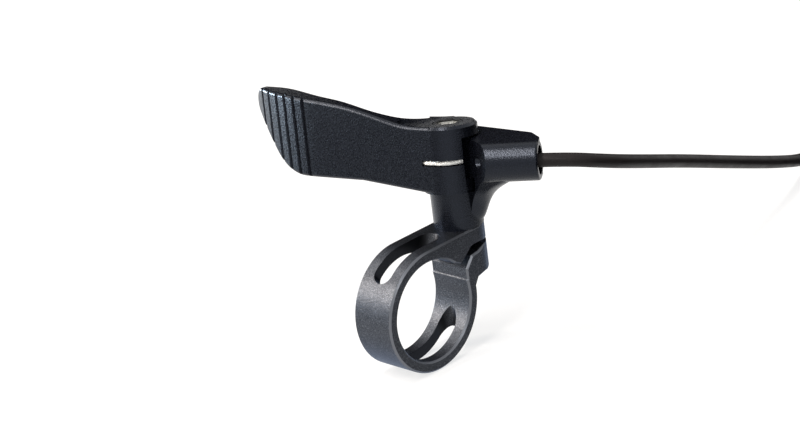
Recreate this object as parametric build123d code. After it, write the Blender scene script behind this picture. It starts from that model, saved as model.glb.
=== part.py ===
from build123d import *
from math import atan2, cos, degrees, hypot, pi, radians, sin, sqrt, tan
import os

os.makedirs("parts", exist_ok=True)

# Millimetres. The origin is the centre of the handlebar clamp: X runs along the bar,
# Y points from the bar to the lever and Z points up.

# Handlebar clamp
BAR_R = 11.1
BAND_WALL = 2.45
BAND_W = 10.7
LUG_GAP = 0.9
UPPER_LUG_T = 3.7
LOWER_LUG_Z = 2.2
LOWER_LUG_RISE = 0.226
SLIT_NOSE = (9.8, 7.0)
SLIT_CORNER = (10.95, 5.4)
SLOT_W = 4.8
TOP_SLOT = (57.0, 137.9)
BOTTOM_SLOT = (-7.8, 10.3)
BAND_EDGE = 0.4
CLAMP_BOLT_R = 2.0
CLAMP_BOLT_GRIP = 4.4
CLAMP_BOLT_HEAD_R = 3.4
CLAMP_BOLT_HEAD_T = 2.6
CLAMP_BOLT_SEAT_Z = 5.9
HOLE_CLEARANCE = 0.15

# Post and housing barrel of the bracket
POST_R = 5.45
POST_Y = 15.6
POST_TOP = 22.5
NECK_R = 5.3
NECK_SECTIONS = (
    (14.6, 5.7, -0.2, 2.4),
    (17.6, 7.15, -0.7, 2.6),
    (20.4, 8.7, -1.5, 2.6),
    (22.7, 10.9, -3.0, 2.6),
    (25.6, 14.6, -5.45, 2.6),
)
CABLE_DIR = 33.0
CABLE_SIDE = 5.45
BARREL_Z = 29.0
BARREL_R = 4.3
BARREL_END = 20.0
BARREL_BORE_R = 3.1
BARREL_BORE_START = 11.0
WIRE_HOLE_R = 1.1
PLATE_TOP = 33.2
PLATE_BOTTOM = 25.2
FACE_R = 26.6
FACE_PLACE = 6.7
FACE_TURN = 33.77
FACE_DEPTH = 16.0
FACE_RISE = 1.4
FACE_LEAN = 7.2
FACE_LEAN_DIR = 32.0
BRACKET_EDGE = 0.5
BLOCK_START = 0.5
BLOCK_BACK = (
    (17.8, 0.1),
    (5.1, 5.8),
    (0.5, 6.4),
)
BLOCK_END_SIDE = -3.2
BLOCK_CORNER_R = 1.6
BARREL_START = 1.0

# Lever pivot: the axis leans away from the post
PIVOT_Z = 28.0
LEAN = 9.0
LEAN_DIR = 130.0
HUB_R = 6.3
HUB_TOP = 8.1
HUB_BOTTOM = -6.4
HUB_EDGE = 0.6
UPPER_ARM_T = 2.7
LOWER_ARM_T = 2.6
LOWER_ARM_R = 5.3
CAVITY_R = 4.0
WEB_START = 125.0
WEB_END = 305.5
SIDE_GAP = 0.3
FACE_GAP = 0.15
BOSS_R = 3.4
SWING = 34.0
ROOM_MARGIN = 8.0
ROOM_END_HIGH = 324.0
ROOM_END_LOW = 338.0
SWEEP_BEHIND = 80.0

# Bearings, spacers and the pivot bolt
BEARING_R = 4.0
BEARING_BORE_R = 2.0
BEARING_T = 1.5
RACE_T = 0.65
SEAL_T = 0.25
SEAL_GAP = 0.05
SPACER_R = 2.9
BOLT_HEAD_R = 3.2
BOLT_HEAD_GAP = 0.1
BOLT_HEAD_EDGE = 0.2
BOLT_SOCKET_R = 2.65
BOLT_SOCKET_DEPTH = 1.0
BOLT_SOCKET_TURN = 13.0
BOLT_TIP = 2.2

# Thumb paddle, along its own direction from the pivot
PADDLE_DIR = 150.0
PADDLE_FLAT = 33.0
PADDLE_BEND_R = 45.0
PADDLE_BEND = 33.0
PADDLE_BACK = (
    (57.2, -1.9),
    (54.6, -0.9),
    (49.4, -0.6),
    (42.1, 0.6),
    (34.2, 2.45),
    (27.7, 3.15),
    (18.5, 4.1),
    (13.4, 3.1),
    (9.4, 0.9),
    (7.0, -2.4),
    (2.9, -5.75),
)
PADDLE_RIDGE = (
    (4.5, HUB_TOP),
    (12.6, 9.3),
    (21.3, 11.3),
    (34.5, 12.9),
    (52.0, 13.9),
)
PADDLE_TOP = PADDLE_RIDGE[-1][1]
PADDLE_BELLY = -4.5
PADDLE_BELLY_START = 20.7
PADDLE_REACH = 61.3
PADDLE_SLOPE_START = 44.0
PADDLE_TIP_R = 3.5
PADDLE_HEEL_R = 14.0
PADDLE_EDGE = 0.7
RIB_PLACES = (36.4, 39.6, 42.8, 46.0, 49.6, 52.9)
RIB_GROOVE_W = 1.5
RIB_GROOVE_D = 0.45
RIB_GROOVE_OVER = 0.3

# Wire on the lever and the screw that clamps it
WIRE_R = 0.55
WIRE_Z = 0.3
WIRE_GAP = 0.1
WIRE_START = 305.5
GROOVE_OPEN = 6.0
TUNNEL_PLACE = 2.8
SCREW_PLACE = (8.6, 3.8)
SCREW_HOLE_BELOW = 0.3
SCREW_R = 1.8
SCREW_TOP = 7.7
SCREW_SOCKET_R = 0.9
SCREW_SOCKET_DEPTH = 2.0

# Cable housing: a stiff cord of 3.05 mm
HOUSING_R = 1.525
FERRULE_R = 3.0
FERRULE_LENGTH = 6.5
FERRULE_LIP = 1.0
FIRST_BEND = 24.5
HOUSING_POINTS = (
    (27.9, 34.6, 25.6),
    (26.2, 47.0, 20.9),
    (21.6, 65.5, 13.7),
    (17.1, 88.0, 4.7),
    (13.4, 109.5, -3.6),
    (7.5, 128.0, -10.6),
    (6.5, 141.0, -12.0),
    (6.5, 149.0, -12.0),
)
COIL_START = (6.5, 150.0)
COIL_MID_R = 17.0
COIL_TURNS_ACROSS = 4
COIL_LAYERS = 2
TAIL_LENGTH = 18.5
END_FERRULE_R = 2.2
END_FERRULE_LENGTH = 10.0
END_FERRULE_CUP = 6.0
WIRE_END_LENGTH = 14.0
NIPPLE_R = 2.0
NIPPLE_LENGTH = 4.5

BAND_R = BAR_R + BAND_WALL
FLOOR = -BAND_R
LOWER_ARM_TOP = HUB_BOTTOM + LOWER_ARM_T
UPPER_ARM_BOTTOM = HUB_TOP - UPPER_ARM_T
COIL_OUTER_TURN = COIL_MID_R + (COIL_TURNS_ACROSS - 1) * HOUSING_R
COIL_CENTRE = (COIL_START[0] + COIL_OUTER_TURN, COIL_START[1])
BOSS_TOP = UPPER_ARM_BOTTOM - FACE_GAP
BOSS_BOTTOM = LOWER_ARM_TOP + FACE_GAP
SEAT_Z = HUB_BOTTOM - 2 * FACE_GAP


def head_plane():
    """The frame of the lever: Z is the pivot axis, X follows the cable direction."""
    axis = Vector(
        sin(radians(LEAN)) * cos(radians(LEAN_DIR)),
        sin(radians(LEAN)) * sin(radians(LEAN_DIR)),
        cos(radians(LEAN)),
    )
    along = Vector(cos(radians(CABLE_DIR)), sin(radians(CABLE_DIR)), 0)
    across = along - axis * along.dot(axis)
    return Plane(origin=(0, POST_Y, PIVOT_Z), x_dir=across, z_dir=axis)


HEAD = head_plane()
BODY = Location((0, POST_Y, 0), (0, 0, CABLE_DIR))
PADDLE = Location((0, 0, 0), (0, 0, PADDLE_DIR))


def in_head(shape):
    return shape.moved(HEAD.location)


def disc(radius, bottom, top, x=0.0, y=0.0):
    return extrude(Pos(x, y, bottom) * Circle(radius), top - bottom)


def ring(outer, inner, bottom, top):
    return extrude(Pos(0, 0, bottom) * (Circle(outer) - Circle(inner)), top - bottom)


def sector(radius, start, end, bottom, top):
    """A slice of a disc between two angles, in degrees."""
    arc = CenterArc((0, 0), radius, start, end - start)
    face = make_face([Line((0, 0), arc @ 0), arc, Line(arc @ 1, (0, 0))])
    return extrude(Pos(0, 0, bottom) * face, top - bottom)


def rod(start, end, radius):
    """A round bar between two points."""
    start, end = Vector(*start), Vector(*end)
    plane = Plane(origin=start, z_dir=end - start)
    return extrude(plane * Circle(radius), (end - start).length)


# Handlebar clamp


def slit_profile():
    """The gap of the clamp: it climbs from the bore and leaves between the lugs."""
    mouth_top = BAND_R - UPPER_LUG_T
    mouth_bottom = mouth_top - LUG_GAP
    reach = POST_Y + BAND_W
    nose_y, nose_z = SLIT_NOSE
    corner_y, corner_z = SLIT_CORNER
    above = Polyline(
        (nose_y - 2.6, nose_z + 1.15),
        (nose_y, nose_z),
        (nose_y + 3.5, mouth_top - 0.15),
        (nose_y + 4.5, mouth_top),
        (reach, mouth_top),
    )
    below = Polyline(
        (reach, mouth_top),
        (reach, mouth_bottom),
        (corner_y + 6.5, mouth_bottom),
        (corner_y + 4.2, corner_z + 2.6),
        (corner_y + 2.1, corner_z + 2.4),
        (corner_y, corner_z),
        (corner_y, corner_z - 2.4),
        (corner_y - 0.8, corner_z - 3.4),
        (nose_y - 2.6, nose_z + 1.15),
    )
    gap = make_face([*above.edges(), *below.edges()])
    tip = gap.vertices().sort_by_distance((nose_y, nose_z, 0))[0]
    step = gap.vertices().sort_by_distance((corner_y + 2.1, corner_z + 2.4, 0))[0]
    return fillet([tip, step], 0.6)


def band_profile():
    """The band and both lugs, seen along the bar."""
    reach = POST_Y + BAND_W
    upper = Polyline(
        (0, 0),
        (0, BAND_R),
        (reach, BAND_R),
        (reach, BAND_R - UPPER_LUG_T - 2),
        (9, 5),
        close=True,
    )
    corner_y = POST_Y - 1.1
    lower = Polyline(
        (9, 9),
        (reach, 9),
        (reach, LOWER_LUG_Z + LOWER_LUG_RISE * (reach - corner_y)),
        (corner_y, LOWER_LUG_Z),
        (corner_y - 1.3, LOWER_LUG_Z - 2),
        (9, LOWER_LUG_Z - 2),
        close=True,
    )
    outline = Circle(BAND_R) + make_face(upper) + make_face(lower)
    return outline - Circle(BAR_R) - slit_profile()


def top_slot():
    """The round-ended window in the upper wall, cut towards the bar's axis."""
    half = SLOT_W / 2
    end_angle = degrees(half / BAND_R)
    first, last = TOP_SLOT[0] + end_angle, TOP_SLOT[1] - end_angle
    far = 2 * BAND_R
    arc = CenterArc((0, 0), far, first, last - first)
    wedge = make_face([Line((0, 0), arc @ 0), arc, Line(arc @ 1, (0, 0))])
    cut = extrude(Plane.YZ * wedge, half, both=True)
    for angle in (first, last):
        out = (0, far * cos(radians(angle)), far * sin(radians(angle)))
        cut += rod((0, 0, 0), out, half)
    return cut


def bottom_slot():
    """The round-ended window in the lower wall, milled straight up."""
    start, end = BOTTOM_SLOT
    outline = Rot(0, 0, 90) * SlotOverall(end - start, SLOT_W)
    return extrude(Pos(0, (start + end) / 2, -2 * BAND_R) * outline, 2 * BAND_R)


def clamp_band():
    band = extrude(Plane.YZ * band_profile(), BAND_W / 2, both=True)
    ends = band.faces().filter_by(Axis.X)
    band = chamfer(ends.edges(), BAND_EDGE)
    plan = Pos(0, POST_Y, -2 * BAND_R) * Circle(BAND_W / 2)
    plan += Pos(0, 0, -2 * BAND_R) * Rectangle(BAND_W, 2 * POST_Y)
    band = band & extrude(plan, 4 * BAND_R)
    band -= top_slot()
    band -= bottom_slot()
    hole = disc(CLAMP_BOLT_R + HOLE_CLEARANCE, CLAMP_BOLT_SEAT_Z, BAND_R + 1, 0, POST_Y)
    seat = disc(CLAMP_BOLT_HEAD_R + HOLE_CLEARANCE, FLOOR, CLAMP_BOLT_SEAT_Z, 0, POST_Y)
    return band - hole - seat


def clamp_bolt():
    """The pinch bolt: its head sits in the lower lug and its thread ends in the post."""
    bottom = CLAMP_BOLT_SEAT_Z - CLAMP_BOLT_HEAD_T
    bolt = disc(CLAMP_BOLT_R, bottom, BAND_R + CLAMP_BOLT_GRIP, 0, POST_Y)
    bolt += disc(CLAMP_BOLT_HEAD_R, bottom, CLAMP_BOLT_SEAT_Z, 0, POST_Y)
    socket = Pos(0, POST_Y, bottom) * RegularPolygon(CLAMP_BOLT_R * 0.85, 6)
    return bolt - extrude(socket, CLAMP_BOLT_HEAD_T * 0.7)


# Bracket


def egg(height, reach, side, nose_r):
    """A section of the neck: a circle in the post drawn out to a nose under the barrel."""
    nose = (reach - nose_r, side)
    far = hypot(*nose)
    lean = atan2(nose[1], nose[0])
    spread = atan2(sqrt(far**2 - (NECK_R - nose_r) ** 2), NECK_R - nose_r)
    upper, lower = lean + spread, lean - spread

    def on(centre, radius, angle):
        return (centre[0] + radius * cos(angle), centre[1] + radius * sin(angle))

    back = ThreePointArc(
        on((0, 0), NECK_R, upper), on((0, 0), NECK_R, lean + pi), on((0, 0), NECK_R, lower)
    )
    front = ThreePointArc(on(nose, nose_r, lower), on(nose, nose_r, lean), on(nose, nose_r, upper))
    face = make_face([back, Line(back @ 1, front @ 0), front, Line(front @ 1, back @ 0)])
    return Pos(0, 0, height) * face


def neck():
    """The flared neck between the post and the barrel."""
    sections = [egg(*section) for section in NECK_SECTIONS]
    return loft(sections)


def bracket_block():
    """The flat-topped wedge behind the barrel, up to the pivot boss."""
    outline = Polyline(
        (BLOCK_START, -CABLE_SIDE),
        (BARREL_END, -CABLE_SIDE),
        (BARREL_END, BLOCK_END_SIDE),
        *BLOCK_BACK,
        close=True,
    )
    block = extrude(Pos(0, 0, PLATE_BOTTOM) * make_face(outline), PLATE_TOP - PLATE_BOTTOM)
    corners = block.edges().filter_by(Axis.Z).sort_by(Axis.X)[-3:-2]
    corners += block.edges().filter_by(Axis.Z).sort_by(Axis.X)[-2:].sort_by(Axis.Y)[-1:]
    return fillet(corners, BLOCK_CORNER_R)


def barrel():
    bar = Plane(origin=(BARREL_START, -CABLE_SIDE, BARREL_Z), z_dir=(1, 0, 0))
    tube = extrude(bar * Circle(BARREL_R), BARREL_END - BARREL_START)
    return fillet(tube.edges().group_by(Axis.X)[-1], BRACKET_EDGE)


def lever_room():
    """The room that the lever sweeps, cut out of the bracket in the lever's frame."""
    wide = HUB_R + SIDE_GAP
    low = LOWER_ARM_R + SIDE_GAP
    start = WEB_START - SWING - ROOM_MARGIN
    room = disc(wide, UPPER_ARM_BOTTOM - FACE_GAP, HUB_TOP + 6)
    room += sector(wide, start, ROOM_END_HIGH, BOSS_BOTTOM, BOSS_TOP) - disc(BOSS_R, BOSS_BOTTOM, BOSS_TOP)
    room += sector(wide, start, ROOM_END_LOW, SEAT_Z, BOSS_BOTTOM)
    room += disc(low, SEAT_Z, BOSS_BOTTOM)
    return room - disc(BOSS_R - 0.6, SEAT_Z, HUB_BOTTOM)


def pivot_boss():
    return disc(BOSS_R, BOSS_BOTTOM, BOSS_TOP)


def left_face():
    """The leaning hollow that cuts off the bracket beside the hub."""
    lean = radians(FACE_LEAN)
    turn = radians(FACE_LEAN_DIR)
    axis = (cos(turn) * sin(lean), sin(turn) * sin(lean), cos(lean))
    along = radians(FACE_TURN)
    centre = (FACE_PLACE - FACE_R * cos(along), -CABLE_SIDE - FACE_R * sin(along))
    plane = Plane(origin=(*centre, BARREL_Z + FACE_RISE), z_dir=axis)
    return extrude(plane * Circle(FACE_R), FACE_DEPTH, both=True)


def lever_bracket():
    body = neck() + bracket_block() + barrel()
    body -= left_face()
    body += disc(POST_R, BAND_R, POST_TOP)
    body = BODY * body
    body += in_head(pivot_boss())
    body -= in_head(lever_room())
    bore = Plane(origin=(BARREL_BORE_START, -CABLE_SIDE, BARREL_Z), z_dir=(1, 0, 0))
    wire_hole = Plane(origin=(0, -CABLE_SIDE, BARREL_Z), z_dir=(1, 0, 0))
    body -= BODY * extrude(bore * Circle(BARREL_BORE_R), BARREL_END)
    body -= BODY * extrude(wire_hole * Circle(WIRE_HOLE_R), BARREL_END)
    body -= in_head(disc(BEARING_BORE_R, HUB_BOTTOM - BOLT_TIP - 0.2, HUB_TOP))
    body -= disc(CLAMP_BOLT_R, 0, BAND_R + CLAMP_BOLT_GRIP, 0, POST_Y)
    return body


# Lever


def paddle_plan():
    """The paddle seen from above: a flat front that bends back to a rounded tip."""
    front = Line((0, HUB_R), (PADDLE_FLAT, HUB_R))
    bend = CenterArc((PADDLE_FLAT, HUB_R - PADDLE_BEND_R), PADDLE_BEND_R, 90, -PADDLE_BEND)
    back = Spline(*PADDLE_BACK, tangents=[(-1, 0), (-0.9, -0.45)])
    tip = Line(bend @ 1, back @ 0)
    root = Line(back @ 1, (0, 0))
    return make_face([front, bend, tip, back, root, Line((0, 0), (0, HUB_R))])


def paddle_outline():
    """The paddle seen from the front, with X along it and Y up the pivot axis."""
    top = Spline(*PADDLE_RIDGE, tangents=[(1, 0.02), (1, 0.03)])
    rest = Polyline(
        PADDLE_RIDGE[-1],
        (PADDLE_REACH, PADDLE_TOP),
        (PADDLE_SLOPE_START, PADDLE_BELLY),
        (PADDLE_BELLY_START, PADDLE_BELLY),
        (0, HUB_BOTTOM),
        (-1, HUB_BOTTOM),
        (-1, HUB_TOP),
        PADDLE_RIDGE[0],
    )
    face = make_face([top, *rest.edges()])
    corners = face.vertices().sort_by(Axis.X)
    face = fillet(corners[-1], PADDLE_TIP_R)
    heel = [v for v in face.vertices() if abs(v.X - PADDLE_SLOPE_START) < 0.01]
    return fillet(heel, PADDLE_HEEL_R)


def paddle():
    """The blade: what the plan and the outline have in common, with a soft front rim."""
    plan = extrude(Pos(0, 0, -10) * paddle_plan(), 30)
    side = Plane(origin=(0, -20, 0), x_dir=(1, 0, 0), z_dir=(0, -1, 0))
    outline = extrude(side * paddle_outline(), -40)
    blade = plan & outline
    rims = [e for e in blade.edges() if e.center().X > 8 and on_front(e)]
    return fillet(rims, PADDLE_EDGE)


def front_depth(place):
    """How far the paddle's front lies from the pivot plane at a place along it."""
    over = max(place - PADDLE_FLAT, 0.0)
    return HUB_R - PADDLE_BEND_R + sqrt(PADDLE_BEND_R**2 - over**2)


def on_front(edge):
    """Whether an edge lies on the paddle's front surface."""
    points = [edge @ share for share in (0.0, 0.5, 1.0)]
    return all(abs(p.Y - front_depth(p.X)) < 0.01 for p in points)


def rib_groove(place):
    """One groove across the paddle's front, square to the surface there."""
    over = max(place - PADDLE_FLAT, 0.0)
    lean = degrees(atan2(over, sqrt(PADDLE_BEND_R**2 - over**2)))
    half = RIB_GROOVE_W / 2
    outline = Polyline(
        (-half, RIB_GROOVE_OVER),
        (-half * 0.5, -RIB_GROOVE_D),
        (half * 0.5, -RIB_GROOVE_D),
        (half, RIB_GROOVE_OVER),
        close=True,
    )
    spot = Location((place, front_depth(place), -12), (0, 0, -lean))
    return extrude(spot * make_face(outline), 30)


def wire_path():
    """The wire's line on the lever: round the hub, then into the paddle to the screw."""
    start = WIRE_START - PADDLE_DIR
    arc = CenterArc((0, 0), CABLE_SIDE, start, 90 - start)
    straight = Line(arc @ 1, (TUNNEL_PLACE - 1.0, CABLE_SIDE))
    screw_x, screw_y = SCREW_PLACE
    aim = atan2(screw_y - CABLE_SIDE, screw_x - TUNNEL_PLACE)
    bend = RadiusArc(
        straight @ 1,
        (TUNNEL_PLACE + 1.0 * cos(aim), CABLE_SIDE + 1.0 * sin(aim)),
        1.0 / tan(abs(aim) / 2),
    )
    last = Line(bend @ 1, (screw_x, screw_y))
    return Pos(0, 0, WIRE_Z) * Wire([arc, straight, bend, last])


def swept(radius):
    """A round section swept along the wire's path."""
    path = wire_path()
    start = Plane(origin=path @ 0, z_dir=path % 0)
    return sweep(start * Circle(radius), path=path)


def hub():
    """The lever's fork: two arms joined by a web, with the room for the post's boss."""
    start, end = WEB_START - PADDLE_DIR, WEB_END - PADDLE_DIR
    upper_arm = disc(HUB_R, UPPER_ARM_BOTTOM, HUB_TOP)
    fork = chamfer(upper_arm.edges().group_by(Axis.Z)[-1], HUB_EDGE)
    web = sector(HUB_R, start, end, HUB_BOTTOM, UPPER_ARM_BOTTOM + 1)
    fork += web + disc(LOWER_ARM_R, HUB_BOTTOM, LOWER_ARM_TOP)
    behind = sector(2 * HUB_R, start - SWEEP_BEHIND, start, HUB_BOTTOM - 1, UPPER_ARM_BOTTOM)
    fork += paddle() - behind
    return fork - disc(CAVITY_R, LOWER_ARM_TOP, UPPER_ARM_BOTTOM)


def wire_groove(half):
    """The groove round the hub and the slot where the wire dives into the paddle."""
    inner = CABLE_SIDE - half
    end = WIRE_START - PADDLE_DIR + GROOVE_OPEN
    groove = sector(HUB_R + 1, 90, end, WIRE_Z - half, WIRE_Z + half)
    groove -= disc(inner, WIRE_Z - 2 * half, WIRE_Z + 2 * half)
    middle = Pos(TUNNEL_PLACE / 2, inner + HUB_R / 2, WIRE_Z - half)
    return groove + extrude(middle * Rectangle(TUNNEL_PLACE, HUB_R), 2 * half)


def thumb_lever():
    half = WIRE_R + WIRE_GAP
    lever = hub() - wire_groove(half)
    lever -= swept(half)
    for place in RIB_PLACES:
        lever -= rib_groove(place)
    lever -= disc(BEARING_R, UPPER_ARM_BOTTOM - 1, UPPER_ARM_BOTTOM + BEARING_T)
    lever -= disc(BEARING_R, HUB_BOTTOM - 1, HUB_BOTTOM + BEARING_T)
    lever -= disc(BOLT_HEAD_R + BOLT_HEAD_GAP, HUB_BOTTOM, HUB_TOP + 1)
    lever -= disc(SCREW_R, WIRE_Z - half - SCREW_HOLE_BELOW, PADDLE_TOP, *SCREW_PLACE)
    return in_head(PADDLE * lever)


def wire_on_lever():
    return in_head(PADDLE * swept(WIRE_R))


def cable_clamp_screw():
    screw = disc(SCREW_R, WIRE_Z + WIRE_R, SCREW_TOP, *SCREW_PLACE)
    bottom = SCREW_TOP - SCREW_SOCKET_DEPTH
    socket = Pos(*SCREW_PLACE, bottom) * RegularPolygon(SCREW_SOCKET_R, 6)
    return in_head(PADDLE * (screw - extrude(socket, SCREW_SOCKET_DEPTH)))


# Pivot


def outer_race(bottom):
    return in_head(ring(BEARING_R, BEARING_R - RACE_T, bottom, bottom + BEARING_T))


def inner_race(bottom):
    return in_head(ring(BEARING_BORE_R + RACE_T, BEARING_BORE_R, bottom, bottom + BEARING_T))


def seal(bottom):
    """The seals of a bearing, one at each face and joined by the cage that they hide."""
    outer, inner = BEARING_R - RACE_T, BEARING_BORE_R + RACE_T + SEAL_GAP
    return in_head(ring(outer, inner, bottom + SEAL_T / 2, bottom + BEARING_T - SEAL_T / 2))


def spacer(bottom, top):
    return in_head(ring(SPACER_R, BEARING_BORE_R, bottom, top))


def pivot_bolt():
    """The axle: its head is flush with the hub and has a wide hexagon socket."""
    shoulder = UPPER_ARM_BOTTOM + BEARING_T
    bolt = disc(BEARING_BORE_R, HUB_BOTTOM - BOLT_TIP, HUB_TOP)
    bolt += disc(BOLT_HEAD_R, shoulder, HUB_TOP)
    bolt = chamfer(bolt.edges().group_by(Axis.Z)[-1], BOLT_HEAD_EDGE)
    socket = Rot(0, 0, BOLT_SOCKET_TURN) * RegularPolygon(BOLT_SOCKET_R, 6)
    bolt -= extrude(Pos(0, 0, HUB_TOP - BOLT_SOCKET_DEPTH) * socket, BOLT_SOCKET_DEPTH + 1)
    return in_head(bolt)


# Cable housing


def on_barrel(place):
    """A point on the barrel's axis, in the part's frame."""
    turn = radians(CABLE_DIR)
    return (
        place * cos(turn) + CABLE_SIDE * sin(turn),
        POST_Y + place * sin(turn) - CABLE_SIDE * cos(turn),
        BARREL_Z,
    )


def housing_route():
    start = on_barrel(BARREL_BORE_START + FERRULE_LIP)
    return [start, on_barrel(FIRST_BEND), *HOUSING_POINTS]


def bend_radii(points):
    """The largest arc that each corner's two runs allow."""
    radii = []
    for before, here, after in zip(points, points[1:], points[2:]):
        first = Vector(*here) - Vector(*before)
        second = Vector(*after) - Vector(*here)
        half_turn = radians(first.get_angle(second)) / 2
        radii.append(0.45 * min(first.length, second.length) / tan(half_turn))
    return radii


def housing_tube():
    points = housing_route()
    radii = bend_radii(points)
    path = FilletPolyline(*points, radius=radii)
    start = Plane(origin=path @ 0, z_dir=path % 0)
    tube = sweep(start * Circle(HOUSING_R), path=path)
    whole = pi * HOUSING_R**2 * path.length
    print("housing radii", [round(r, 1) for r in radii])
    print("housing volume", round(tube.volume, 2), "section x length", round(whole, 2))
    return tube


def housing_ferrule():
    end = BARREL_BORE_START + FERRULE_LENGTH
    lip = BARREL_BORE_START + FERRULE_LIP
    outline = Polyline(
        (BARREL_BORE_START, WIRE_HOLE_R - 0.3),
        (BARREL_BORE_START, FERRULE_R),
        (end - 0.4, FERRULE_R),
        (end, FERRULE_R - 0.4),
        (end, HOUSING_R),
        (lip, HOUSING_R),
        (lip, WIRE_HOLE_R - 0.3),
        close=True,
    )
    plane = Plane(origin=(0, 0, 0), x_dir=(1, 0, 0), z_dir=(0, -1, 0))
    sleeve = revolve(plane * make_face(outline), Axis.X)
    return BODY * (Pos(0, -CABLE_SIDE, BARREL_Z) * sleeve)


def housing_coil():
    """The outer shape of the put-away coil: turns one housing diameter apart."""
    half_width = COIL_TURNS_ACROSS * HOUSING_R
    height = COIL_LAYERS * 2 * HOUSING_R
    coil = ring(COIL_MID_R + half_width, COIL_MID_R - half_width, FLOOR, FLOOR + height)
    coil = fillet(coil.edges(), HOUSING_R * 0.9)
    return Pos(*COIL_CENTRE, 0) * coil


def tail_point(back):
    """A point on the straight end of the housing, which lies beside the coil."""
    return (COIL_CENTRE[0] + COIL_OUTER_TURN, COIL_CENTRE[1] - back, FLOOR + END_FERRULE_R)


def housing_tail():
    return rod(tail_point(0), tail_point(TAIL_LENGTH), HOUSING_R)


def end_ferrule():
    start = TAIL_LENGTH - END_FERRULE_CUP
    end = start + END_FERRULE_LENGTH
    sleeve = rod(tail_point(start), tail_point(end), END_FERRULE_R)
    sleeve = chamfer(sleeve.edges(), 0.4)
    sleeve -= rod(tail_point(start - 1), tail_point(TAIL_LENGTH), HOUSING_R)
    return sleeve - rod(tail_point(TAIL_LENGTH), tail_point(end + 1), WIRE_R)


def wire_end_place():
    """How far the wire reaches from the coil, where its nipple starts."""
    return TAIL_LENGTH - END_FERRULE_CUP + END_FERRULE_LENGTH + WIRE_END_LENGTH


def wire_end():
    return rod(tail_point(TAIL_LENGTH), tail_point(wire_end_place()), WIRE_R)


def wire_nipple():
    start = wire_end_place()
    head = rod(tail_point(start), tail_point(start + NIPPLE_LENGTH), NIPPLE_R)
    return chamfer(head.edges(), 0.3)


UPPER_BEARING = UPPER_ARM_BOTTOM
NODES = {
    "clamp_band": clamp_band(),
    "clamp_bolt": clamp_bolt(),
    "lever_bracket": lever_bracket(),
    "thumb_lever": thumb_lever(),
    "cable_clamp_screw": cable_clamp_screw(),
    "wire_on_lever": wire_on_lever(),
    "pivot_bolt": pivot_bolt(),
    "upper_bearing_outer_race": outer_race(UPPER_BEARING),
    "upper_bearing_inner_race": inner_race(UPPER_BEARING),
    "upper_bearing_seal": seal(UPPER_BEARING),
    "upper_spacer": spacer(BOSS_TOP, UPPER_BEARING),
    "lower_bearing_outer_race": outer_race(HUB_BOTTOM),
    "lower_bearing_inner_race": inner_race(HUB_BOTTOM),
    "lower_bearing_seal": seal(HUB_BOTTOM),
    "lower_spacer": spacer(HUB_BOTTOM + BEARING_T, BOSS_BOTTOM),
    "housing_ferrule": housing_ferrule(),
    "housing_tube": housing_tube(),
    "housing_coil": housing_coil(),
    "housing_tail": housing_tail(),
    "end_ferrule": end_ferrule(),
    "wire_end": wire_end(),
    "wire_nipple": wire_nipple(),
}

for name, shape in NODES.items():
    export_step(shape, f"parts/{name}.step")
    count, volume = len(shape.solids()), round(shape.volume, 2)
    print(name, count, "solids, volume", volume, "valid", shape.is_valid)
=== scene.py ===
import math

import bmesh
import bpy
from mathutils import Matrix, Vector


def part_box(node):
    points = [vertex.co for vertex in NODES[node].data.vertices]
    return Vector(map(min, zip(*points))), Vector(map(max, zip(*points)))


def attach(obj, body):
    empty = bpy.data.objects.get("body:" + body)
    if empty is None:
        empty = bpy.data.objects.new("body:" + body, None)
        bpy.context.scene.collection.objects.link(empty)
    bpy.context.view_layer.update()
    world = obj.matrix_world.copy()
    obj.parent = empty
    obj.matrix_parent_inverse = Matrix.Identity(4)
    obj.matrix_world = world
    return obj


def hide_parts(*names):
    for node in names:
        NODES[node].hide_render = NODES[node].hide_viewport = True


bl_info = {
    "name": "Seat post lever finisher",
    "version": (1, 0, 0),
    "blender": (4, 5, 0),
    "location": "View3D > Sidebar > Lever",
    "description": "Finishes, cable and studio for a handlebar lever",
    "category": "Object",
}

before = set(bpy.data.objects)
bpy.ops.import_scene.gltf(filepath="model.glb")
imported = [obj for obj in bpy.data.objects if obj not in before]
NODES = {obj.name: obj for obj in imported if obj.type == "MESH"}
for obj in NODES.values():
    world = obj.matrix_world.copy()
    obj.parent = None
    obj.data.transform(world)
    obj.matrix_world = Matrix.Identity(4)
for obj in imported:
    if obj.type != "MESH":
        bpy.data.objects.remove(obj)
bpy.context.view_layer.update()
MM = 0.001
FLOOR_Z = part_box("clamp_band")[0].z


# The lever's leaning pivot and the wire's line on it. Lengths are in millimetres. Round
# the pivot, X runs along the paddle.

LEAN = math.radians(9.0)
LEAN_DIR = math.radians(130.0)
CABLE_DIR = math.radians(33.0)
PADDLE_DIR = math.radians(150.0)
PIVOT = (0.0, 15.6, 28.0)
WIRE_TRACK_R = 5.45
WIRE_RISE = 0.3
WIRE_FROM, WIRE_LEAVES = 155.5, 90.0  # degrees round the pivot
WIRE_STEPS = 26
TUNNEL = 2.8
TUNNEL_EASE = 0.5
TUNNEL_DIP = 0.04
SCREW_PLACE = (8.6, 3.8)
HUB_TOP = 8.1
SOCKET_RIM = 0.35


def pivot_axis():
    flat = Vector((math.cos(LEAN_DIR), math.sin(LEAN_DIR), 0.0)) * math.sin(LEAN)
    return flat + Vector((0.0, 0.0, math.cos(LEAN)))


# Sizes and colours that a user would change


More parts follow.
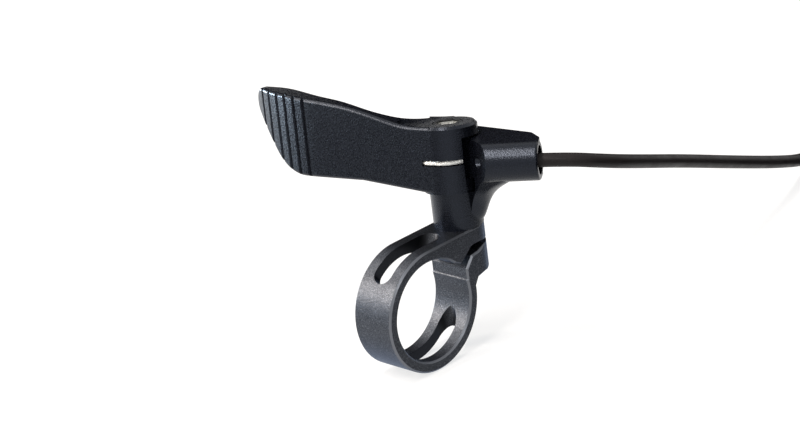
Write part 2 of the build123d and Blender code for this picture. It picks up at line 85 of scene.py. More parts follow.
class LeverFinish(bpy.types.PropertyGroup):
    body_colour: bpy.props.FloatVectorProperty(
        name="Body colour",
        description="Colour of the blasted and anodised bracket and lever",
        subtype="COLOR",
        size=3,
        min=0.0,
        max=1.0,
        default=(0.0030, 0.0034, 0.0054),
    )
    band_colour: bpy.props.FloatVectorProperty(
        name="Clamp band colour",
        description="Colour of the blasted and anodised clamp band",
        subtype="COLOR",
        size=3,
        min=0.0,
        max=1.0,
        default=(0.059, 0.062, 0.069),
    )
    steel_colour: bpy.props.FloatVectorProperty(
        name="Steel colour",
        description="Colour of the wire, the races and the clamp screw",
        subtype="COLOR",
        size=3,
        min=0.0,
        max=1.0,
        default=(0.62, 0.62, 0.60),
    )
    dark_steel_colour: bpy.props.FloatVectorProperty(
        name="Black steel colour",
        description="Colour of the blackened bolts",
        subtype="COLOR",
        size=3,
        min=0.0,
        max=1.0,
        default=(0.055, 0.055, 0.058),
    )
    grain: bpy.props.FloatProperty(
        name="Blasting grain",
        description="Size of one dimple that the blasting leaves",
        default=0.00032,
        unit="LENGTH",
    )


class HousingSizes(bpy.types.PropertyGroup):
    diameter: bpy.props.FloatProperty(
        name="Housing diameter",
        description="Outside diameter of the cable housing",
        default=3.05 * MM,
        unit="LENGTH",
    )
    length: bpy.props.FloatProperty(
        name="Housing length",
        description="Length of the housing from the barrel to its end ferrule",
        default=0.93,
        unit="LENGTH",
    )
    coil_radius: bpy.props.FloatProperty(
        name="Coil radius",
        description="Radius at the middle of the turns of the put-away coil",
        default=17.0 * MM,
        unit="LENGTH",
    )
    colour: bpy.props.FloatVectorProperty(
        name="Housing colour",
        description="Colour of the housing's plastic skin",
        subtype="COLOR",
        size=3,
        min=0.0,
        max=1.0,
        default=(0.0105, 0.0080, 0.0084),
    )


class WireSizes(bpy.types.PropertyGroup):
    radius: bpy.props.FloatProperty(
        name="Wire radius",
        description="Outside radius of the inner wire",
        default=0.55 * MM,
        unit="LENGTH",
    )
    strands: bpy.props.IntProperty(
        name="Strands",
        description="Number of strands in the wire's outer layer",
        default=12,
        min=5,
    )
    lay: bpy.props.FloatProperty(
        name="Lay",
        description="Length over which a strand goes once round the wire",
        default=9.0 * MM,
        unit="LENGTH",
    )


class StudioSettings(bpy.types.PropertyGroup):
    focal_length: bpy.props.FloatProperty(
        name="Focal length",
        description="Focal length of the camera in millimetres",
        default=121.5,
    )
    fill: bpy.props.FloatProperty(
        name="Fill",
        description="Strength of the world's light on matt surfaces",
        default=0.30,
    )


def settings():
    return bpy.context.scene.lever_settings


class LeverSettings(bpy.types.PropertyGroup):
    finish: bpy.props.PointerProperty(type=LeverFinish)
    housing: bpy.props.PointerProperty(type=HousingSizes)
    wire: bpy.props.PointerProperty(type=WireSizes)
    studio: bpy.props.PointerProperty(type=StudioSettings)


# Materials

MIX_SHARE, MIX_FIRST, MIX_SECOND, MIX_COLOUR = 0, 6, 7, 2
BODY_SKIN = {"metallic": 0.0, "rough": 0.285, "depth": 0.000035}
# The band's chamfer brightness is a painted highlight in the colour of its chamfers.
BAND_SKIN = {"metallic": 1.0, "rough": 0.42, "depth": 0.000006, "patchy": 0.15, "chamfer_highlight": 2.4}
BAND_GRAIN = 0.6  # of the body's grain
PIT_SIZE, PATCH_SIZE = 0.55, 7  # in grains
CLOUD_SIZE = 0.009
SKIN_SPECULAR, SKIN_TINT = 0.32, (0.72, 0.81, 1.0, 1.0)
CLAMP_END = 0.0048  # metres from the middle of the clamp to its chamfers
# Painted shade: the clamp's end faces and its windows' side walls are darkened in colour.
PAINTED_END_SHADE, PAINTED_WALL_SHADE = 0.62, 0.35
STEEL_RELIEF = (0.000012, 0.4)


def add_node(tree, kind, inputs=None, **values):
    """Adds a node, sets the properties that values name, and links or fills its inputs."""
    made = tree.nodes.new(kind)
    for key, value in values.items():
        setattr(made, key, value)
    for key, value in (inputs or {}).items():
        if isinstance(value, bpy.types.NodeSocket):
            tree.links.new(value, made.inputs[key])
        else:
            made.inputs[key].default_value = value
    return made


class Finish:
    """A material under construction: its tree, its shader and its object coordinates."""

    def __init__(self, name):
        self.material = bpy.data.materials.new(name)
        self.material.use_nodes = True
        self.tree = self.material.node_tree
        self.shader = self.tree.nodes["Principled BSDF"]
        self.coordinates = self.node("ShaderNodeTexCoord").outputs["Object"]

    def node(self, kind, inputs=None, **values):
        return add_node(self.tree, kind, inputs, **values)

    def noise(self, size, detail=2.0, roughness=0.5):
        inputs = {
            "Vector": self.coordinates,
            "Scale": 1.0 / size,
            "Detail": detail,
            "Roughness": roughness,
        }
        return self.node("ShaderNodeTexNoise", inputs).outputs["Fac"]

    def ramp(self, value, stops):
        """Colours or greys over a value from 0 to 1."""
        made = self.node("ShaderNodeValToRGB", {"Fac": value})
        band = made.color_ramp
        while len(band.elements) < len(stops):
            band.elements.new(0.5)
        for element, (place, colour) in zip(band.elements, stops):
            element.position = place
            channels = colour if isinstance(colour, tuple) else (colour,) * 3
            element.color = (*channels, 1.0)
        return made.outputs["Color"]

    def maths(self, operation, *values):
        inputs = dict(enumerate(values))
        return self.node("ShaderNodeMath", inputs, operation=operation).outputs[0]

    def mix(self, share, first, second, blend="MIX"):
        """Mixes two colours, each a socket or three channels."""
        inputs = {MIX_SHARE: share, MIX_FIRST: first, MIX_SECOND: second}
        for place, value in inputs.items():
            if isinstance(value, tuple):
                inputs[place] = (*value, 1.0)
        made = self.node("ShaderNodeMix", inputs, data_type="RGBA", blend_type=blend)
        return made.outputs[MIX_COLOUR]

    def bump(self, height, distance, strength):
        inputs = {"Height": height, "Distance": distance, "Strength": strength}
        return self.node("ShaderNodeBump", inputs).outputs["Normal"]

    def painted_light_places(self):
        """Masks for painted light on the clamp: 1 on its chamfers, which get a painted highlight,
        and on its ends and the side walls of its windows, which get painted shade.

        The chamfers are near its ends and lean 45 degrees to its axis, X. The ends and
        the walls face along it, and the walls are farther in."""
        normal = self.node("ShaderNodeTexCoord").outputs["Normal"]
        facing = self.node("ShaderNodeSeparateXYZ", {"Vector": normal}).outputs["X"]
        facing = self.maths("ABSOLUTE", facing)
        place = self.node("ShaderNodeSeparateXYZ", {"Vector": self.coordinates}).outputs["X"]
        at_end = self.maths("GREATER_THAN", self.maths("ABSOLUTE", place), CLAMP_END)
        leaning = self.maths("COMPARE", facing, math.sqrt(0.5), 0.03)
        straight = self.maths("GREATER_THAN", facing, 0.95)
        inputs = {"Value": facing, "From Min": 0.3, "From Max": 0.8}
        sideways = self.node("ShaderNodeMapRange", inputs).outputs["Result"]
        return (
            self.maths("MULTIPLY", leaning, at_end),
            self.maths("MULTIPLY", straight, at_end),
            self.maths("MULTIPLY", sideways, self.maths("SUBTRACT", 1.0, at_end)),
        )

    def set(self, **values):
        """Links or sets the shader's inputs, with _ for each space in a name."""
        for key, value in values.items():
            socket = self.shader.inputs[key.replace("_", " ")]
            if isinstance(value, bpy.types.NodeSocket):
                self.tree.links.new(value, socket)
            else:
                socket.default_value = value


def metres(point):
    return Vector(point) * MM


def tinted(colour, factor):
    return tuple(min(1.0, channel * factor) for channel in colour)


def blasted_metal(name, colour, grain, metallic, rough, depth, patchy=1.0, chamfer_highlight=None):
    """Bead-blasted and anodised aluminium: a dyed skin with fine dimples, whose brightest pits
    carry painted glints.

    When a chamfer brightness is given, the clamp's chamfers get a painted highlight of that
    brightness, and its ends and its windows' side walls get painted shade."""
    made = Finish(name)
    dimples = made.noise(grain, detail=0.0)
    pits = made.noise(grain * PIT_SIZE, detail=0.0)
    patches = made.noise(grain * PATCH_SIZE, detail=3.0)
    clouds = made.noise(CLOUD_SIZE)
    # The pits' tone varies at random; the brightest step, at 3.5 times the colour, is a painted
    # glint.
    grain_and_glint_tones = ((0.36, 0.6), (0.52, 1.0), (0.64, 1.3), (0.76, 3.5))
    base = made.ramp(pits, [(place, tinted(colour, tone)) for place, tone in grain_and_glint_tones])
    tone = made.ramp(patches, [(0.3, 1 - 0.1 * patchy), (0.7, 1 + 0.1 * patchy)])
    wide = made.ramp(clouds, [(0.35, 1 - 0.06 * patchy), (0.65, 1 + 0.06 * patchy)])
    base = made.mix(1.0, base, tone, "MULTIPLY")
    base = made.mix(1.0, base, wide, "MULTIPLY")
    if chamfer_highlight:
        # Painted highlight on the chamfers, painted shade on the ends and the window side walls.
        chamfers, ends, walls = made.painted_light_places()
        base = made.mix(chamfers, base, tinted(colour, chamfer_highlight))
        shade = made.mix(ends, (1.0,) * 3, (PAINTED_END_SHADE,) * 3)
        base = made.mix(1.0, base, shade, "MULTIPLY")
        base = made.mix(walls, base, tinted(colour, PAINTED_WALL_SHADE))
    uneven = made.ramp(dimples, [(0.3, rough * 1.15), (0.7, rough * 0.85)])
    height = made.maths("ADD", dimples, made.maths("MULTIPLY", pits, 0.5))
    made.set(Base_Color=base, Metallic=metallic, Roughness=uneven)
    made.set(Normal=made.bump(height, depth, 0.75))
    made.shader.inputs["Specular IOR Level"].default_value = SKIN_SPECULAR
    made.shader.inputs["Specular Tint"].default_value = SKIN_TINT
    return made.material


def plain_steel(name, colour, rough, grain):
    """Steel with fine, uneven marks."""
    made = Finish(name)
    marks = made.noise(grain, detail=3.0)
    base = made.ramp(marks, [(0.3, tinted(colour, 0.8)), (0.7, tinted(colour, 1.15))])
    uneven = made.ramp(marks, [(0.3, rough * 0.85), (0.7, rough * 1.2)])
    made.set(Base_Color=base, Metallic=1.0, Roughness=uneven)
    made.set(Normal=made.bump(marks, *STEEL_RELIEF))
    return made.material


def socketed_steel(name, colour, bare, level):
    """Blackened steel that is bare below a level on the pivot's axis, in the socket."""
    made = Finish(name)
    marks = made.noise(0.0004, detail=3.0)
    axis = pivot_axis()
    inputs = {0: made.coordinates, 1: tuple(axis)}
    height = made.node("ShaderNodeVectorMath", inputs, operation="DOT_PRODUCT").outputs["Value"]
    inside = made.maths("LESS_THAN", height, metres(PIVOT).dot(axis) + level)
    tone = made.ramp(marks, [(0.3, 0.75), (0.7, 1.15)])
    base = made.mix(inside, colour, bare)
    base = made.mix(1.0, base, tone, "MULTIPLY")
    made.set(Base_Color=base, Metallic=1.0, Roughness=0.36)
    made.set(Normal=made.bump(marks, *STEEL_RELIEF))
    return made.material


def housing_skin(name, colour):
    """Extruded plastic: satin, with faint scuffs and a warm brown cast."""
    made = Finish(name)
    skin = made.noise(0.0006, detail=3.0)
    scuffs = made.noise(0.004, detail=4.0, roughness=0.6)
    base = made.ramp(skin, [(0.3, tinted(colour, 0.82)), (0.7, tinted(colour, 1.2))])
    tone = made.ramp(scuffs, [(0.35, 0.9), (0.72, 1.25)])
    base = made.mix(1.0, base, tone, "MULTIPLY")
    rough = made.ramp(scuffs, [(0.35, 0.42), (0.7, 0.56)])
    made.set(Base_Color=base, Roughness=rough, Normal=made.bump(skin, 0.00002, 0.35))
    made.shader.inputs["Specular IOR Level"].default_value = 0.22
    return made.material


def woven_tape(name):
    """Nylon tape with a fine checked weave."""
    made = Finish(name)
    weave = made.node("ShaderNodeTexChecker", {"Vector": made.coordinates, "Scale": 2600.0})
    fuzz = made.noise(0.0002, detail=2.0)
    base = made.mix(weave.outputs["Fac"], (0.016, 0.016, 0.018), (0.036, 0.036, 0.04))
    made.set(Base_Color=base, Roughness=0.85)
    height = made.maths("ADD", weave.outputs["Fac"], fuzz)
    made.set(Normal=made.bump(height, 0.00006, 0.6))
    return made.material


def seal_rubber(name):
    """Matt black rubber."""
    made = Finish(name)
    marks = made.noise(0.0004, detail=3.0)
    base = made.ramp(marks, [(0.3, (0.012, 0.012, 0.013)), (0.7, (0.022, 0.022, 0.024))])
    made.set(Base_Color=base, Roughness=0.6, Normal=made.bump(marks, 0.00002, 0.4))
    return made.material


def wear(node, material):
    """Gives a CAD node's object one material."""
    slots = NODES[node].data.materials
    slots.clear()
    slots.append(material)


class FinishMetal(bpy.types.Operator):
    """Gives the carried-over parts their anodised, steel and rubber finishes"""

    bl_idname = "lever.finish_metal"
    bl_label = "Finish the metal parts"

    def execute(self, context):
        finish = settings().finish
        body, band = tuple(finish.body_colour), tuple(finish.band_colour)
        bare, dark = tuple(finish.steel_colour), tuple(finish.dark_steel_colour)
        wear("lever_bracket", blasted_metal("blasted_bracket", body, finish.grain, **BODY_SKIN))
        wear("thumb_lever", blasted_metal("blasted_lever", body, finish.grain, **BODY_SKIN))
        grain = finish.grain * BAND_GRAIN
        wear("clamp_band", blasted_metal("blasted_band", band, grain, **BAND_SKIN))
        bright = plain_steel("bright_steel", bare, 0.28, 0.0005)
        black = plain_steel("black_steel", dark, 0.38, 0.0004)
        rubber = seal_rubber("bearing_seal")
        for node in ("clamp_bolt", "housing_ferrule", "end_ferrule"):
            wear(node, black)
        level = (HUB_TOP - SOCKET_RIM) * MM
        wear("pivot_bolt", socketed_steel("axle_steel", dark, bare, level))
        for end in ("upper", "lower"):
            wear(f"{end}_bearing_outer_race", bright)
            wear(f"{end}_bearing_inner_race", bright)
            wear(f"{end}_spacer", bright)
            wear(f"{end}_bearing_seal", rubber)
        for node in ("cable_clamp_screw", "wire_nipple"):
            wear(node, bright)
        return {"FINISHED"}


# Cable housing, in millimetres

ROUTE = (
    (13.03, 17.57, 29.0),
    (23.52, 24.37, 29.0),
    (27.9, 34.6, 25.6),
    (26.2, 47.0, 20.9),
    (21.6, 65.5, 13.7),
    (17.1, 88.0, 4.7),
    (13.4, 109.5, -3.6),
    (7.5, 128.0, -10.6),
    (6.5, 141.0, -12.0),
    (6.5, 149.0, -12.0),
)
COIL_START = (6.5, 150.0)
COIL_TURNS_ACROSS = 4
COIL_CLIMB = 1.5  # turns, from the end of the first layer to the second one's first step out
COIL_STEPS = 16  # control points in a turn
COIL_LIFT = 0.5
TAIL_POINTS = (6.0, 12.5, 18.5)
TAIL_RISE = 2.2
TAIL_SETTLE = 17.0
STRAP_THICK, STRAP_WIDE, STRAP_GAP, STRAP_CORNER = 0.35, 5.0, 0.12, 1.6
STRAP_CORNER_STEPS = 6


def coil_shape(turned, diameter, inner, outer):
    """Radius and rise of the coil, in millimetres, after some turns from its start.

    The first layer winds inwards, climbs inside its own last turn and winds out again."""
    inward = (outer - inner) / diameter
    hold = inward + COIL_CLIMB
    if turned < inward:
        return outer - diameter * turned, 0.0
    climbed = min(turned - inward, 1.0)
    rise = diameter * math.sqrt(climbed * (2.0 - climbed))
    return inner + diameter * max(turned - hold, 0.0), rise


def coil_points(diameter, middle):
    """Control points of the coil's turns, clockwise from above, and the coil's measures.

    The points lie a little outside the turns, because the cord's line cuts their corners."""
    spread = diameter * (COIL_TURNS_ACROSS - 1) / 2
    inner, outer = middle - spread, middle + spread
    centre_x, centre_y = COIL_START[0] + outer, COIL_START[1]
    pull = 1.0 / math.cos(math.pi / COIL_STEPS)
    turns = 2 * (outer - inner) / diameter + COIL_CLIMB
    base = FLOOR_Z / MM + diameter / 2 + COIL_LIFT
    points = []
    for step in range(1, round(turns * COIL_STEPS)):
        turned = step / COIL_STEPS
        radius, rise = coil_shape(turned, diameter, inner, outer)
        angle = math.pi - 2 * math.pi * turned
        x = centre_x + radius * pull * math.cos(angle)
        y = centre_y + radius * pull * math.sin(angle)
        points.append((x, y, base + rise))
    return points, (centre_x, centre_y, inner, outer)


def housing_points(diameter, middle):
    """Control points from the barrel through the coil to the far ferrule."""
    coil, (centre_x, centre_y, inner, outer) = coil_points(diameter, middle)
    side = centre_x + outer
    low = FLOOR_Z / MM + TAIL_RISE
    high = coil[-1][2]
    tail = [(side, centre_y - 1.0, high - 0.15)]
    for back in TAIL_POINTS:
        above = (high - low) * max(0.0, 0.35 - back / TAIL_SETTLE)
        tail.append((side, centre_y - back, low + above))
    return [*ROUTE, *coil, *tail]


def spline_curve(name, points, radius):
    """A round cord on one smooth NURBS line, whose control points are given in millimetres."""
    curve = bpy.data.curves.new(name, "CURVE")
    curve.dimensions = "3D"
    spline = curve.splines.new("NURBS")
    spline.points.add(len(points) - 1)
    for target, point in zip(spline.points, points):
        target.co = (*metres(point), 1.0)
    spline.order_u = 3
    spline.use_endpoint_u = True
    spline.resolution_u = 6
    curve.bevel_depth = radius
    curve.bevel_resolution = 5
    curve.use_fill_caps = True
    piece = bpy.data.objects.new(name, curve)
    bpy.context.scene.collection.objects.link(piece)
    return piece


def tie_loop(name, angle, inner, outer, centre, height, material):
    """A strap round the coil's bundle of turns, at an angle of the coil."""
    half_run = (outer - inner) / 2 + STRAP_GAP - STRAP_CORNER
    half_rise = height / 2 + STRAP_GAP - STRAP_CORNER
    middle = (outer + inner) / 2
    low = FLOOR_Z / MM + COIL_LIFT + height / 2
    rows = []
    for radius in (STRAP_CORNER, STRAP_CORNER + STRAP_THICK):
        row = []
        for sector, (sx, sz) in enumerate(((1, 1), (-1, 1), (-1, -1), (1, -1))):
            for step in range(STRAP_CORNER_STEPS + 1):
                turn = math.radians(90 * (sector + step / STRAP_CORNER_STEPS))
                x = sx * half_run + radius * math.cos(turn)
                z = sz * half_rise + radius * math.sin(turn)
                row.append((x, z))
        rows.append(row)
    mesh = bmesh.new()
    grid = []
    for side in (-STRAP_WIDE / 2, STRAP_WIDE / 2):
        for row in rows:
            grid.append([mesh.verts.new((middle + x, side, low + z)) for x, z in row])
    inner_near, outer_near, inner_far, outer_far = grid
    count = len(inner_near)
    for here in range(count):
        after = (here + 1) % count
        for first, second in (
            (inner_near, outer_near),
            (outer_near, outer_far),
            (outer_far, inner_far),
            (inner_far, inner_near),
        ):
            mesh.faces.new((first[here], first[after], second[after], second[here]))
    bmesh.ops.recalc_face_normals(mesh, faces=mesh.faces)
    data = bpy.data.meshes.new(name)
    mesh.to_mesh(data)
    mesh.free()
    place = Matrix.Translation((centre[0], centre[1], 0.0)) @ Matrix.Rotation(angle, 4, "Z")
    data.transform(Matrix.Diagonal((MM, MM, MM, 1.0)) @ place)
    data.materials.append(material)
    piece = bpy.data.objects.new(name, data)
    bpy.context.scene.collection.objects.link(piece)
    return piece


class AddHousing(bpy.types.Operator):
    """Lays the cable housing from the barrel to its coil, with the straps that tie the coil"""

    bl_idname = "lever.add_housing"
    bl_label = "Add the cable housing"

    def execute(self, context):
        sizes = settings().housing
        diameter, middle = sizes.diameter / MM, sizes.coil_radius / MM
        points = housing_points(diameter, middle)
        housing = spline_curve("housing_cord", points, sizes.diameter / 2)
        housing.data.materials.append(housing_skin("housing_skin", tuple(sizes.colour)))
        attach(housing, "bracket")
        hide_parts("housing_tube", "housing_coil", "housing_tail")
        tape = woven_tape("strap_tape")
        centre_x, centre_y, inner, outer = coil_points(diameter, middle)[1]
        height = 2 * diameter
        inside = inner - diameter / 2
        for name, angle, turned in (("coil_strap_far", 90, 0.25), ("coil_strap_near", 270, 0.75)):
            outside = outer + diameter / 2 - diameter * turned
            place = math.radians(angle)
            strap = tie_loop(name, place, inside, outside, (centre_x, centre_y), height, tape)
            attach(strap, "bracket")
        return {"FINISHED"}


# Inner wire


def head_matrix():
    """Places millimetres on the lever's leaning pivot, with X along the paddle."""
    axis = pivot_axis()
    along = Vector((math.cos(CABLE_DIR), math.sin(CABLE_DIR), 0.0))
    across = (along - axis * along.dot(axis)).normalized()
    turned = Matrix((across, axis.cross(across), axis)).transposed().to_4x4()
    place = Matrix.Translation(Vector(PIVOT)) @ turned @ Matrix.Rotation(PADDLE_DIR, 4, "Z")
    return Matrix.Diagonal((MM, MM, MM, 1.0)) @ place


def lever_wire_points():
    """The wire's line in its groove round the hub and on to the clamp screw."""
    place = head_matrix()
    track = []
    for step in range(WIRE_STEPS + 1):
        angle = math.radians(WIRE_FROM + (WIRE_LEAVES - WIRE_FROM) * step / WIRE_STEPS)
        track.append((WIRE_TRACK_R * math.cos(angle), WIRE_TRACK_R * math.sin(angle)))
    aim = math.atan2(SCREW_PLACE[1] - WIRE_TRACK_R, SCREW_PLACE[0] - TUNNEL)
    ease_x, ease_y = TUNNEL_EASE * math.cos(aim), TUNNEL_EASE * math.sin(aim)
    dipped = WIRE_TRACK_R - TUNNEL_DIP
    track += [
        (TUNNEL - 2 * TUNNEL_EASE, WIRE_TRACK_R),
        (TUNNEL - TUNNEL_EASE, dipped),
        (TUNNEL + ease_x, dipped + ease_y),
        (TUNNEL + 2 * ease_x, WIRE_TRACK_R + 2 * ease_y),
        SCREW_PLACE,
    ]
    return [place @ Vector((x, y, WIRE_RISE)) for x, y in track]


def end_wire_points():
    """The wire between the end ferrule and its nipple, on the floor beside the coil."""
    low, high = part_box("wire_end")
    middle = (low + high) / 2
    return [Vector((middle.x, y, middle.z)) for y in (high.y, middle.y, low.y)]


def strand_tree():
    """Geometry nodes that lay twisted strands and a core along a line."""
    tree = bpy.data.node_groups.new("Twisted strands", "GeometryNodeTree")
    face = tree.interface
    face.new_socket("Geometry", in_out="INPUT", socket_type="NodeSocketGeometry")
    for name, kind, value in (
        ("Radius", "NodeSocketFloat", 0.00055),
        ("Strands", "NodeSocketInt", 12),
        ("Lay", "NodeSocketFloat", 0.009),
        ("Step", "NodeSocketFloat", 0.00018),
    ):
        face.new_socket(name, in_out="INPUT", socket_type=kind).default_value = value
    face.new_socket("Material", in_out="INPUT", socket_type="NodeSocketMaterial")
    face.new_socket("Geometry", in_out="OUTPUT", socket_type="NodeSocketGeometry")

    def add(kind, inputs=None, **values):
        return add_node(tree, kind, inputs, **values)

    def maths(operation, *values):
        return add("ShaderNodeMath", dict(enumerate(values)), operation=operation).outputs[0]

    given = add("NodeGroupInput").outputs
    inputs = {"Curve": given["Geometry"], "Length": given["Step"]}
    line = add("GeometryNodeResampleCurve", inputs, mode="LENGTH")
    along = add("GeometryNodeSplineParameter").outputs["Length"]
    whole = add("GeometryNodeSplineLength").outputs["Length"]
    nearest = maths("MINIMUM", along, maths("SUBTRACT", whole, along))
    inset = maths("MINIMUM", maths("DIVIDE", nearest, given["Radius"]), 1.0)
    short = maths("SUBTRACT", 1.0, inset)
    rounding = maths("SQRT", maths("SUBTRACT", 1.0004, maths("MULTIPLY", short, short)))
    shaped = add("GeometryNodeSetCurveRadius", {"Curve": line.outputs["Curve"], "Radius": rounding})
    twist = maths("DIVIDE", maths("MULTIPLY", along, 2 * math.pi), given["Lay"])
    twisted = add("GeometryNodeSetCurveTilt", {"Curve": shaped.outputs["Curve"], "Tilt": twist})
    half_angle = maths("SINE", maths("DIVIDE", math.pi, given["Strands"]))
    share = maths("DIVIDE", half_angle, maths("ADD", half_angle, 1.0))
    strand = maths("MULTIPLY", given["Radius"], share)
    track = maths("SUBTRACT", given["Radius"], strand)
    ring = add("GeometryNodeMeshCircle", {"Vertices": given["Strands"], "Radius": track})
    bead = add("GeometryNodeCurvePrimitiveCircle", {"Resolution": 8, "Radius": strand})
    inputs = {"Points": ring.outputs["Mesh"], "Instance": bead.outputs["Curve"]}
    beads = add("GeometryNodeInstanceOnPoints", inputs)
    strands = add("GeometryNodeRealizeInstances", {"Geometry": beads.outputs["Instances"]})
    core = add("GeometryNodeCurvePrimitiveCircle", {"Resolution": 12, "Radius": track})
    section = add("GeometryNodeJoinGeometry")
    tree.links.new(strands.outputs["Geometry"], section.inputs["Geometry"])
    tree.links.new(core.outputs["Curve"], section.inputs["Geometry"])
    swept = add("GeometryNodeCurveToMesh", {"Curve": twisted.outputs["Curve"], "Fill Caps": True})
    tree.links.new(section.outputs["Geometry"], swept.inputs["Profile Curve"])
    real = add("GeometryNodeRealizeInstances", {"Geometry": swept.outputs["Mesh"]})
    inputs = {"Geometry": real.outputs["Geometry"], "Material": given["Material"]}
    coloured = add("GeometryNodeSetMaterial", inputs)
    add("NodeGroupOutput", {"Geometry": coloured.outputs["Geometry"]})
    return tree


def stranded_wire(name, points, tree, sizes, material):
    """A wire of twisted strands along points in metres, as a plain mesh."""
    curve = bpy.data.curves.new(name + "_line", "CURVE")
    curve.dimensions = "3D"
    spline = curve.splines.new("POLY")
    spline.points.add(len(points) - 1)
    for target, point in zip(spline.points, points):
        target.co = (*point, 1.0)
    line = bpy.data.objects.new(name + "_line", curve)
    bpy.context.scene.collection.objects.link(line)
    modifier = line.modifiers.new("strands", "NODES")
    modifier.node_group = tree
    sockets = [item for item in tree.interface.items_tree if item.in_out == "INPUT"]
    inputs = {socket.name: socket.identifier for socket in sockets}
    for key, value in (
        ("Radius", sizes.radius),
        ("Strands", sizes.strands),
        ("Lay", sizes.lay),
        ("Material", material),
    ):
        modifier[inputs[key]] = value
    graph = bpy.context.evaluated_depsgraph_get()
    data = bpy.data.meshes.new_from_object(line.evaluated_get(graph), depsgraph=graph)
    data.name = name
    bpy.data.objects.remove(line)
    if not data.polygons:
        raise RuntimeError(f"{name} has no faces")
    data.polygons.foreach_set("use_smooth", [True] * len(data.polygons))
    piece = bpy.data.objects.new(name, data)
    bpy.context.scene.collection.objects.link(piece)
    return piece


class AddWire(bpy.types.Operator):
    """Adds the stranded wire, on the lever and beyond the end of the housing"""

    bl_idname = "lever.add_wire"
    bl_label = "Add the inner wire"

    def execute(self, context):
        sizes = settings().wire
        colour = tinted(tuple(settings().finish.steel_colour), 1.25)
        steel = plain_steel("wire_steel", colour, 0.42, 0.002)
        tree = strand_tree()
        for name, points, body, node in (
            ("wire_on_lever_strands", lever_wire_points(), "lever", "wire_on_lever"),
            ("wire_end_strands", end_wire_points(), "bracket", "wire_end"),
        ):
            wire = stranded_wire(name, points, tree, sizes, steel)
            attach(wire, body)
            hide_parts(node)
        return {"FINISHED"}


# Studio

EYE = (0.38154, -0.36423, 0.22706)
LOOK = Vector((-0.67495, 0.64168, -0.36426))
UP = Vector((-0.17305, 0.34224, 0.92354))
FLOOR_SHADE, FLOOR_GLOW = 0.36, 0.70
FLOOR_SIDE = 6.0
# Each lamp's name, place, size, direction of its first side, radiance and colour
SOFTBOXES = (
    ("overhead", (0.01, -0.31, 0.68), (0.60, 0.085), (0.55, -0.84, 0.0), 32.0, (1.0, 0.94, 0.88)),
    ("left_high", (-0.50, -0.06, 0.48), (0.12, 0.12), (0.0, 1.0, 0.0), 13.0, (1.0, 0.94, 0.88)),
    ("left_front", (-0.47, -0.41, 0.32), (0.12, 0.34), (0.66, -0.75, 0.0), 24.0, (1.0, 0.91, 0.82)),
    ("left_low", (-0.52, -0.09, 0.012), (0.34, 0.045), (0.15, -0.99, 0.0), 66.0, (0.72, 0.87, 1.0)),
    ("right_high", (0.48, -0.23, 0.42), (0.06, 0.06), (0.0, 1.0, 0.0), 40.0, (1.0, 1.0, 1.0)),
)
# Each card's name, width, height and place, and whether it lies on the floor
FLAGS = (
    ("flag_behind", 0.80, 0.44, (-0.42, 0.40, 0.23), False),
    ("flag_right", 0.80, 0.36, (0.50, 0.46, 0.10), False),
    ("flag_on_floor", 0.80, 0.90, (0.36, 0.34, FLOOR_Z + 0.0001), True),
    ("flag_in_front", 0.46, 0.44, (-0.20, -0.28, FLOOR_Z + 0.0002), True),
)


def seen_as_white(tree, shaded, white):
    """Shows a white shader to camera, glossy and transmitted rays."""
    rays = add_node(tree, "ShaderNodeLightPath").outputs
    share = rays["Is Camera Ray"]
    for kind in ("Is Glossy Ray", "Is Transmission Ray"):
        inputs = {0: share, 1: rays[kind]}
        share = add_node(tree, "ShaderNodeMath", inputs, operation="MAXIMUM").outputs[0]
    return add_node(tree, "ShaderNodeMixShader", {0: share, 1: shaded, 2: white}).outputs[0]


def light_world(fill):
    """A faint, cool light all round, which looks white."""
    world = bpy.data.worlds.new("studio")
    bpy.context.scene.world = world
    world.use_nodes = True
    tree = world.node_tree
    dim = tree.nodes["Background"]
    dim.inputs["Color"].default_value = (0.95, 0.97, 1.0, 1.0)
    dim.inputs["Strength"].default_value = fill
    white = add_node(tree, "ShaderNodeBackground", {"Color": (1.0,) * 4, "Strength": 1.0})
    mixed = seen_as_white(tree, dim.outputs[0], white.outputs[0])
    tree.links.new(mixed, tree.nodes["World Output"].inputs["Surface"])


def floor_material():
    """White paper that keeps a soft shadow: its own shade plus a little white."""
    made = Finish("white_floor")
    made.set(Base_Color=(FLOOR_SHADE, FLOOR_SHADE, FLOOR_SHADE, 1.0), Roughness=0.9)
    made.shader.inputs["Specular IOR Level"].default_value = 0.0
    shaded = made.shader.outputs[0]
    glow = made.node("ShaderNodeEmission", {"Color": (1.0,) * 4, "Strength": FLOOR_GLOW})
    both = made.node("ShaderNodeAddShader", {0: shaded, 1: glow.outputs[0]})
    result = seen_as_white(made.tree, shaded, both.outputs[0])
    made.tree.links.new(result, made.tree.nodes["Material Output"].inputs["Surface"])
    return made.material


def stage_plane(name, material, place):
    """A flat square of the stage, a metre wide before a matrix puts it in its place."""
    data = bpy.data.meshes.new(name)
    corners = [(-0.5, -0.5, 0.0), (0.5, -0.5, 0.0), (0.5, 0.5, 0.0), (-0.5, 0.5, 0.0)]
    data.from_pydata(corners, [], [(0, 1, 2, 3)])
    data.transform(place)
    data.materials.append(material)
    plane = bpy.data.objects.new(name, data)
    bpy.context.scene.collection.objects.link(plane)
    return plane


def flag(name, wide, high, place, lying):
    """A black card, on the floor or facing the object, that is seen in reflections only."""
    made = Finish(name)
    made.set(Base_Color=(0.01, 0.01, 0.012, 1.0), Roughness=1.0)
    made.shader.inputs["Specular IOR Level"].default_value = 0.0
    if lying:
        facing = Matrix.Rotation(math.atan2(place[1], place[0]), 4, "Z")
    else:
        facing = (-Vector(place)).to_track_quat("Z", "Y").to_matrix().to_4x4()
    sized = facing @ Matrix.Diagonal((wide, high, 1.0, 1.0))
    card = stage_plane(name, made.material, Matrix.Translation(place) @ sized)
    card.visible_camera = False
    card.visible_diffuse = False
    card.visible_shadow = False


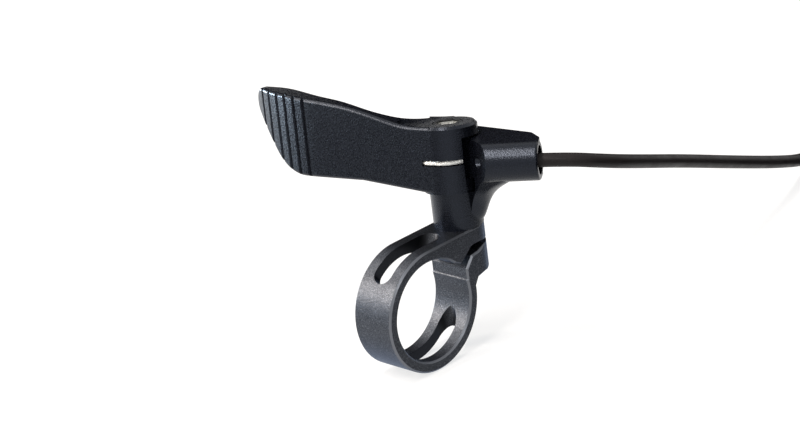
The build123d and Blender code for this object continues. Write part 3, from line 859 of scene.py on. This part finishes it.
def softbox(name, place, size, along, radiance, colour):
    """An area light that faces the object, with its first side along a direction."""
    data = bpy.data.lights.new(name, "AREA")
    data.shape = "RECTANGLE"
    data.size, data.size_y = size
    data.energy = radiance * math.pi * size[0] * size[1]
    data.color = colour
    lamp = bpy.data.objects.new(name, data)
    bpy.context.scene.collection.objects.link(lamp)
    lamp.location = place
    back = Vector(place).normalized()
    side = Vector(along)
    side = (side - back * side.dot(back)).normalized()
    lamp.rotation_euler = Matrix((side, back.cross(side), back)).transposed().to_euler()


class SetStage(bpy.types.Operator):
    """Sets the floor, the soft lights, the world and the camera"""

    bl_idname = "lever.set_stage"
    bl_label = "Set the studio"

    def execute(self, context):
        studio = settings().studio
        scene = context.scene
        scene.view_settings.view_transform = "Standard"
        light_world(studio.fill)
        low = Matrix.Translation((0.0, 0.0, FLOOR_Z))
        size = Matrix.Diagonal((FLOOR_SIDE, FLOOR_SIDE, 1.0, 1.0))
        stage_plane("floor", floor_material(), low @ size)
        for box in SOFTBOXES:
            softbox(*box)
        for card in FLAGS:
            flag(*card)
        data = bpy.data.cameras.new("camera")
        data.lens = studio.focal_length
        data.sensor_width = 36.0
        data.clip_start = 0.02
        camera = bpy.data.objects.new("camera", data)
        scene.collection.objects.link(camera)
        camera.location = EYE
        back = -LOOK.normalized()
        right = UP.cross(back).normalized()
        camera.rotation_euler = Matrix((right, back.cross(right), back)).transposed().to_euler()
        scene.camera = camera
        return {"FINISHED"}


# Sidebar and registration


class LeverPanel(bpy.types.Panel):
    bl_idname = "VIEW3D_PT_seat_post_lever"
    bl_label = "Seat post lever"
    bl_space_type = "VIEW_3D"
    bl_region_type = "UI"
    bl_category = "Lever"

    def draw(self, context):
        for group in (settings().finish, settings().housing, settings().wire, settings().studio):
            box = self.layout.box()
            for key in group.bl_rna.properties.keys():
                if key not in ("rna_type", "name"):
                    box.prop(group, key)
        for operator in OPERATORS:
            self.layout.operator(operator.bl_idname)


OPERATORS = (FinishMetal, AddWire, AddHousing, SetStage)
GROUPS = (LeverFinish, HousingSizes, WireSizes, StudioSettings, LeverSettings)
CLASSES = (*GROUPS, *OPERATORS, LeverPanel)


def register():
    for item in CLASSES:
        bpy.utils.register_class(item)
    bpy.types.Scene.lever_settings = bpy.props.PointerProperty(type=LeverSettings)


def unregister():
    del bpy.types.Scene.lever_settings
    for item in reversed(CLASSES):
        bpy.utils.unregister_class(item)


def main():
    register()
    bpy.ops.lever.finish_metal()
    bpy.ops.lever.add_wire()
    bpy.ops.lever.add_housing()
    bpy.ops.lever.set_stage()


if __name__ == "__main__":
    main()
